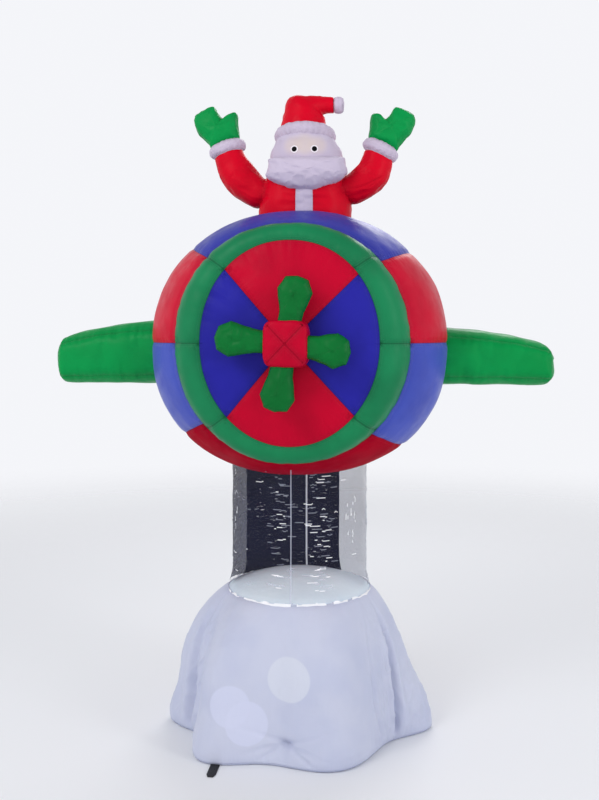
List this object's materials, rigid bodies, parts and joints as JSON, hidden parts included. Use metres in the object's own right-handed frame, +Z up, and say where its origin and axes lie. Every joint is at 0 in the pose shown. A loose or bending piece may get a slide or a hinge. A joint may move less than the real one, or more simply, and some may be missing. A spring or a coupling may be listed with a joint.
{
  "type": "inflatable santa",
  "caption": "Blower-filled yard decoration: a waving santa in a barrel aeroplane, held up by a clear tube on a snow mound that stands on the ground.",
  "frame": {"origin": "middle of the snow mound's flat underside, on the ground, on the axis of the clear tube", "axes": "+Z up, the propeller and santa face -Y, +X towards santa's left hand, which is on the viewer's right"},
  "size_m": [1.924, 1.202, 2.3987],
  "materials": {
    "white_nylon": "thin coated nylon, slight sheen",
    "red_nylon": "thin coated nylon, slight sheen",
    "green_nylon": "thin coated nylon, slight sheen",
    "panel_nylon": "sewn panels of blue, red and green nylon",
    "clear_vinyl": "clear, glossy, lightly creased",
    "black_webbing": "woven strap"
  },
  "bodies": {
    "root": {"snow_mound": "white_nylon", "tether_tab": "black_webbing", "clear_tube": "clear_vinyl", "plane_body": "panel_nylon", "wing_left": "green_nylon", "wing_right": "green_nylon", "propeller_hub": "red_nylon", "blade_top": "green_nylon", "blade_left": "green_nylon", "blade_right": "green_nylon", "blade_bottom": "green_nylon", "coat": "red_nylon", "cuff_left": "white_nylon", "cuff_right": "white_nylon", "mitten_left": "green_nylon", "mitten_right": "green_nylon", "head": "white_nylon", "beard": "white_nylon", "hat_brim": "white_nylon", "hat": "red_nylon", "pompom": "white_nylon"}
  },
  "joints": []
}
